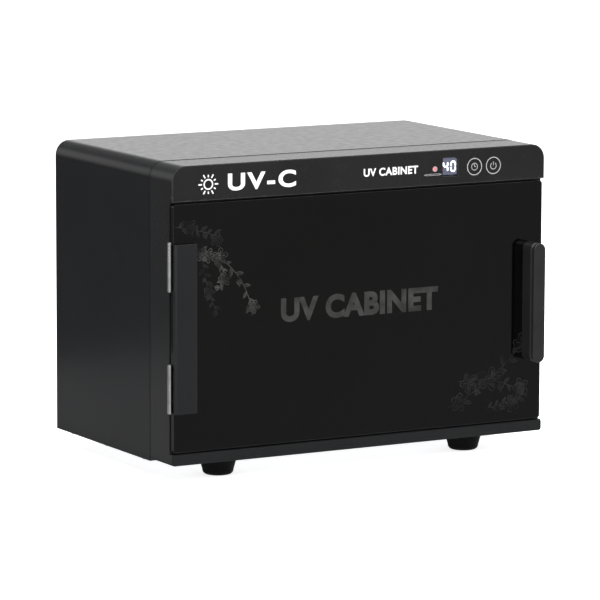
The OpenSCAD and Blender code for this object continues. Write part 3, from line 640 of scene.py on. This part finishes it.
def sprig(x, z, angle, length, bend, seed, line, size, blossoms):
    """A stem with leaves, tendrils and blossoms, given as (place along the stem, radius)."""
    rng = random.Random(seed)
    stem, _ = curve_points(x, z, angle, length, bend, STEM_STEPS)
    faces = ribbon(stem, line * 1.2)
    for k in range(3, STEM_STEPS - 2, 3):
        (px, pz), (qx, qz) = stem[k], stem[k + 1]
        along = math.atan2(qz - pz, qx - px)
        side = 1 if k % 2 else -1
        leaf_length = size * rng.uniform(0.75, 1.3)
        faces += leaf(px, pz, along + side * rng.uniform(0.6, 1.0), leaf_length, line)
        if k % 4 == 0:
            curl, _ = curve_points(px, pz, along - side * 0.9, leaf_length * 1.9, side * 5.5, 28)
            faces += ribbon(curl, line)
    for place, radius in blossoms:
        px, pz = stem[round(place * STEM_STEPS)]
        bx, bz = px + rng.uniform(-4, 4), pz + rng.uniform(-4, 4)
        faces += blossom(bx, bz, radius, rng.uniform(0, 6), line)
    return faces


STEM_STEPS = 40
# name: (x, z, angle, length, bend, seed, line, leaf size, blossoms), and whether its etching has the
# painted highlight
SPRIGS = {
    "upper_sprig": ((-163, 187, -0.2, 88, -1.25, 3, 0.6, 6.5, ((0.1, 6), (0.3, 7.5), (0.95, 6))), True),
    "upper_sprig_curl": ((-154, 180, 0.1, 44, -2.6, 8, 0.6, 6, ((0.15, 6.5), (0.7, 6))), True),
    "upper_sprig_tail": ((-156, 176, -1.45, 50, 0.35, 5, 0.5, 6, ((0.5, 5.5),)), False),
    "upper_sprig_tip": ((-182, 206, -0.15, 46, -0.2, 6, 0.5, 7, ((0.4, 6.5), (0.9, 6))), False),
    "lower_sprig": ((88, 30, 0.35, 96, 0.5, 11, 0.6, 9, ((0.15, 8.5), (0.5, 11), (0.95, 9))), False),
    "lower_sprig_branch": ((98, 52, 0.1, 70, -0.6, 17, 0.55, 8, ((0.1, 9), (0.9, 8.5))), False),
    "lower_sprig_tail": ((126, 26, 0.1, 46, 0.3, 21, 0.5, 7, ((0.6, 8),)), False),
}


def make_sprigs():
    for name, (shape, glinting) in SPRIGS.items():
        # Painted highlight on the lit sprigs, painted shade on the others.
        ink = ETCHED_LIT if glinting else ETCHED_SHADED
        mark(name, sprig(*shape), GLASS_Y, ink, "door", 0.02)


make_sprigs()

# ---- Lamp electrodes ---------------------------------------------------------------------


def electrode(name, side):
    """A coiled filament on two bent legs inside one end of the tube."""
    low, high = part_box("uv_tube")
    centre = (low + high) / 2
    end = high.x if side > 0 else low.x
    curve = bpy.data.curves.new(name + "_curve", "CURVE")
    curve.dimensions = "3D"
    curve.bevel_depth = 0.22 * MM
    curve.bevel_resolution = 2
    tip = end - side * 17 * MM
    root = end - side * 3 * MM
    span = 4 * MM
    path = [(root, -span, 0), (tip, -span, 0)]
    turns, steps = 9, 12
    for i in range(turns * steps + 1):
        t = i / (turns * steps)
        phase = 2 * math.pi * turns * t
        path.append((tip + 0.9 * MM * math.cos(phase), -span + 2 * span * t, 0.9 * MM * math.sin(phase)))
    path += [(tip, span, 0), (root, span, 0)]
    line = curve.splines.new("POLY")
    line.points.add(len(path) - 1)
    for point, (x, y, z) in zip(line.points, path):
        point.co = (x, centre.y + y, centre.z + z, 1)
    draft = bpy.data.objects.new(name + "_draft", curve)
    bpy.context.scene.collection.objects.link(draft)
    data = bpy.data.meshes.new_from_object(draft.evaluated_get(bpy.context.evaluated_depsgraph_get()))
    bpy.data.objects.remove(draft)
    finish_piece(name, data, SLOTS["lamp_metal"], "lamp")


electrode("left_electrode", -1)
electrode("right_electrode", 1)

# ---- Stage, light and world --------------------------------------------------------------

FLOOR_GLOW = 0.77
MIRRORED_DIM = (0.24, 0.1)
MIRRORED_BRIGHT = 1.06
GROUND_LIGHT = 0.8
CEILING_LIGHT = 0.5
RIGHT_LIGHT = 0.7
FRONT_LIGHT = 0.75
FRONT_CARD = (-0.08, -0.99, -0.1)


def make_floor():
    """A wide pale floor. It glows a little and mirrors leave it out, as in a light tent."""
    mesh = bmesh.new()
    bmesh.ops.create_grid(mesh, x_segments=1, y_segments=1, size=30)
    data = bpy.data.meshes.new("floor")
    mesh.to_mesh(data)
    mesh.free()
    floor = bpy.data.objects.new("floor", data)
    bpy.context.scene.collection.objects.link(floor)
    floor.visible_glossy = False
    s = Surface("pale_floor", rough=0.9, specular=0.0)
    s.colour(s.noise(3, 3), (0.93, 0.93, 0.93), (0.95, 0.95, 0.95))
    s.shader.inputs["Emission Color"].default_value = (1, 1, 1, 1)
    s.shader.inputs["Emission Strength"].default_value = FLOOR_GLOW
    data.materials.append(s.material)


def softbox(name, place, aim, width, height, watts, colour=(1, 1, 1)):
    data = bpy.data.lights.new(name, "AREA")
    data.shape = "RECTANGLE"
    data.size = width
    data.size_y = height
    data.energy = watts
    data.color = colour
    light = bpy.data.objects.new(name, data)
    bpy.context.scene.collection.objects.link(light)
    light.location = place
    light.rotation_euler = (Vector(aim) - Vector(place)).to_track_quat("-Z", "Y").to_euler()


def make_world():
    """Plain white to the camera. Mirrors see a bright wall behind the cabinet and soft cards."""
    world = bpy.data.worlds.new("world")
    bpy.context.scene.world = world
    world.use_nodes = True
    tree = world.node_tree

    def ramp(value, start, end, low, high):
        node = tree.nodes.new("ShaderNodeMapRange")
        node.interpolation_type = "SMOOTHSTEP"
        for name, number in (("From Min", start), ("From Max", end), ("To Min", low), ("To Max", high)):
            node.inputs[name].default_value = number
        tree.links.new(value, node.inputs["Value"])
        return node.outputs["Result"]

    def combined(operation, first, second):
        node = tree.nodes.new("ShaderNodeMath")
        node.operation = operation
        tree.links.new(first, node.inputs[0])
        tree.links.new(second, node.inputs[1])
        return node.outputs[0]

    def product(first, second):
        return combined("MULTIPLY", first, second)

    def total(first, second):
        return combined("ADD", first, second)

    direction = tree.nodes.new("ShaderNodeTexCoord").outputs["Generated"]
    ahead = tree.nodes.new("ShaderNodeVectorMath")
    ahead.operation = "DOT_PRODUCT"
    ahead.inputs[1].default_value = (-math.sin(CAMERA_AZIMUTH), math.cos(CAMERA_AZIMUTH), 0)
    tree.links.new(direction, ahead.inputs[0])
    height = tree.nodes.new("ShaderNodeSeparateXYZ")
    tree.links.new(direction, height.inputs[0])
    # the wall behind, from the horizon up
    bright = product(ramp(ahead.outputs["Value"], 0.3, 0.8, 0, 1),
                     ramp(height.outputs["Z"], -0.06, 0.04, 0, 1))
    bright = product(bright, ramp(height.outputs["Z"], 0.2, 0.42, 1, 0))
    # the ground, the ceiling, the right side and a card in front
    bright = total(bright, ramp(height.outputs["Z"], -0.85, -0.45, GROUND_LIGHT, 0))
    bright = total(bright, ramp(height.outputs["Z"], 0.35, 0.75, 0, CEILING_LIGHT))
    bright = total(bright, ramp(height.outputs["X"], 0.62, 0.85, 0, RIGHT_LIGHT))
    front = tree.nodes.new("ShaderNodeVectorMath")
    front.operation = "DOT_PRODUCT"
    front.inputs[1].default_value = FRONT_CARD
    tree.links.new(direction, front.inputs[0])
    bright = total(bright, ramp(front.outputs["Value"], 0.935, 0.985, 0, FRONT_LIGHT))
    level = tree.nodes.new("ShaderNodeMapRange")
    level.clamp = False
    tree.links.new(bright, level.inputs["Value"])
    tree.links.new(ramp(ahead.outputs["Value"], -0.5, 0.5, *MIRRORED_DIM), level.inputs["To Min"])
    level.inputs["To Max"].default_value = MIRRORED_BRIGHT
    seen = tree.nodes.new("ShaderNodeMath")
    seen.operation = "MAXIMUM"
    tree.links.new(level.outputs["Result"], seen.inputs[0])
    tree.links.new(tree.nodes.new("ShaderNodeLightPath").outputs["Is Camera Ray"], seen.inputs[1])
    tree.links.new(seen.outputs[0], tree.nodes["Background"].inputs["Strength"])
    tree.nodes["Background"].inputs["Color"].default_value = (1, 1, 1, 1)


def make_light():
    softbox("overhead_softbox", (0.2, 0, 1.9), (0.1, 0, 0), 2.2, 1.8, 40)
    softbox("front_softbox", (-0.6, -1.6, 1.5), (0, -0.3, 0.1), 1.2, 0.8, 22)
    softbox("left_softbox", (-2.3, -1.3, 0.45), (-0.18, -0.1, 0.12), 0.6, 1.1, 3.5)
    softbox("low_card", (-0.36, 0.2, 0.004), (-0.36, 0.2, 1), 0.3, 0.6, 0.11)
    view = bpy.context.scene.view_settings
    view.view_transform = "Standard"
    view.look = "None"


make_floor()
make_world()
make_light()
